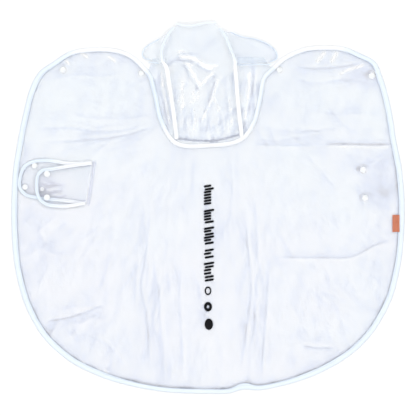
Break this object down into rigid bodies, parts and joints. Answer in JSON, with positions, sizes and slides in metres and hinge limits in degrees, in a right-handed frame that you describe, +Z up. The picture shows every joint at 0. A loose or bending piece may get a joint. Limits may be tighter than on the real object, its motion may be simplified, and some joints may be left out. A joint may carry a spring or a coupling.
{
  "type": "hooded rain cape",
  "caption": "Transparent film rain cape with bound edges, attached hood, two closing tabs and press studs, spread flat with its outer side up.",
  "frame": {"origin": "on the surface the cape lies on, under the middle of its outline", "axes": "+X along the cape's width, +Y from the hem to the hood, +Z up out of the cape's outer side"},
  "size_m": [0.9423, 0.8926, 0.0223],
  "materials": {
    "clear_film": "clear soft film, slightly blue, glossy, creased",
    "hood_film": "clear soft film, glossier, wrinkled",
    "binding_tape": "white woven tape, satin",
    "snap_plastic": "white moulded plastic, satin",
    "label_cloth": "plain orange woven label",
    "print_ink": null
  },
  "bodies": {
    "cape": {"back_panel": "clear_film", "hem_binding": "binding_tape", "right_shoulder_binding": "binding_tape", "left_shoulder_binding": "binding_tape", "neck_binding": "binding_tape", "snap_cap_neck_left": "snap_plastic", "snap_socket_neck_left": "snap_plastic", "snap_cap_neck_right": "snap_plastic", "snap_socket_neck_right": "snap_plastic", "hood_centre_lower": "hood_film", "hood_side_left_lower": "hood_film", "hood_side_right_lower": "hood_film", "piping_left_lower": "binding_tape", "piping_right_lower": "binding_tape"},
    "left_front": {"left_front_panel": "clear_film", "left_front_binding": "binding_tape", "snap_cap_shoulder_left": "snap_plastic", "snap_socket_shoulder_left": "snap_plastic", "tab_seam_strip": "binding_tape"},
    "right_front": {"right_front_panel": "clear_film", "right_front_binding": "binding_tape", "snap_cap_shoulder_right": "snap_plastic", "snap_socket_shoulder_right": "snap_plastic", "snap_cap_side_upper": "snap_plastic", "snap_socket_side_upper": "snap_plastic", "snap_cap_side_lower": "snap_plastic", "snap_socket_side_lower": "snap_plastic"},
    "hood": {"hood_centre_upper": "hood_film", "hood_side_left_upper": "hood_film", "hood_side_right_upper": "hood_film", "piping_left_upper": "binding_tape", "piping_right_upper": "binding_tape", "hood_brim_hem": "binding_tape", "elastic_edge_left": "binding_tape", "elastic_edge_right": "binding_tape"},
    "tab_inner": {"tab_inner_film": "clear_film", "tab_inner_binding": "binding_tape", "snap_cap_tab_inner_upper": "snap_plastic", "snap_socket_tab_inner_upper": "snap_plastic", "snap_cap_tab_inner_lower": "snap_plastic", "snap_socket_tab_inner_lower": "snap_plastic", "tab_inner_stud": "snap_plastic"},
    "tab_outer": {"tab_outer_film": "clear_film", "tab_outer_binding": "binding_tape", "snap_cap_tab_outer_upper": "snap_plastic", "snap_socket_tab_outer_upper": "snap_plastic", "snap_cap_tab_outer_lower": "snap_plastic", "snap_socket_tab_outer_lower": "snap_plastic"},
    "label": {"side_label": "label_cloth"}
  },
  "joints": [
    {"name": "left_front_fold", "type": "hinge", "parent": "cape", "child": "left_front", "pos_m": [-0.184, 0, 0.0022], "axis": [0, 1, 0], "range_deg": [0, 90]},
    {"name": "right_front_fold", "type": "hinge", "parent": "cape", "child": "right_front", "pos_m": [0.184, 0, 0.0022], "axis": [0, -1, 0], "range_deg": [0, 90]},
    {"name": "hood_fold", "type": "hinge", "parent": "cape", "child": "hood", "pos_m": [0, 0.336, 0.0235], "axis": [1, 0, 0], "range_deg": [0, 170]},
    {"name": "tab_inner_lift", "type": "hinge", "parent": "left_front", "child": "tab_inner", "pos_m": [-0.285, 0.059, 0.0038], "axis": [0.1465, 0.9892, 0], "range_deg": [0, 40]},
    {"name": "tab_outer_lift", "type": "hinge", "parent": "tab_inner", "child": "tab_outer", "pos_m": [-0.285, 0.059, 0.0072], "axis": [0.1465, 0.9892, 0], "range_deg": [0, 90]},
    {"name": "label_lift", "type": "hinge", "parent": "right_front", "child": "label", "pos_m": [0.4564, -0.0385, 0.00305], "axis": [0, 1, 0], "range_deg": [0, 90]}
  ]
}
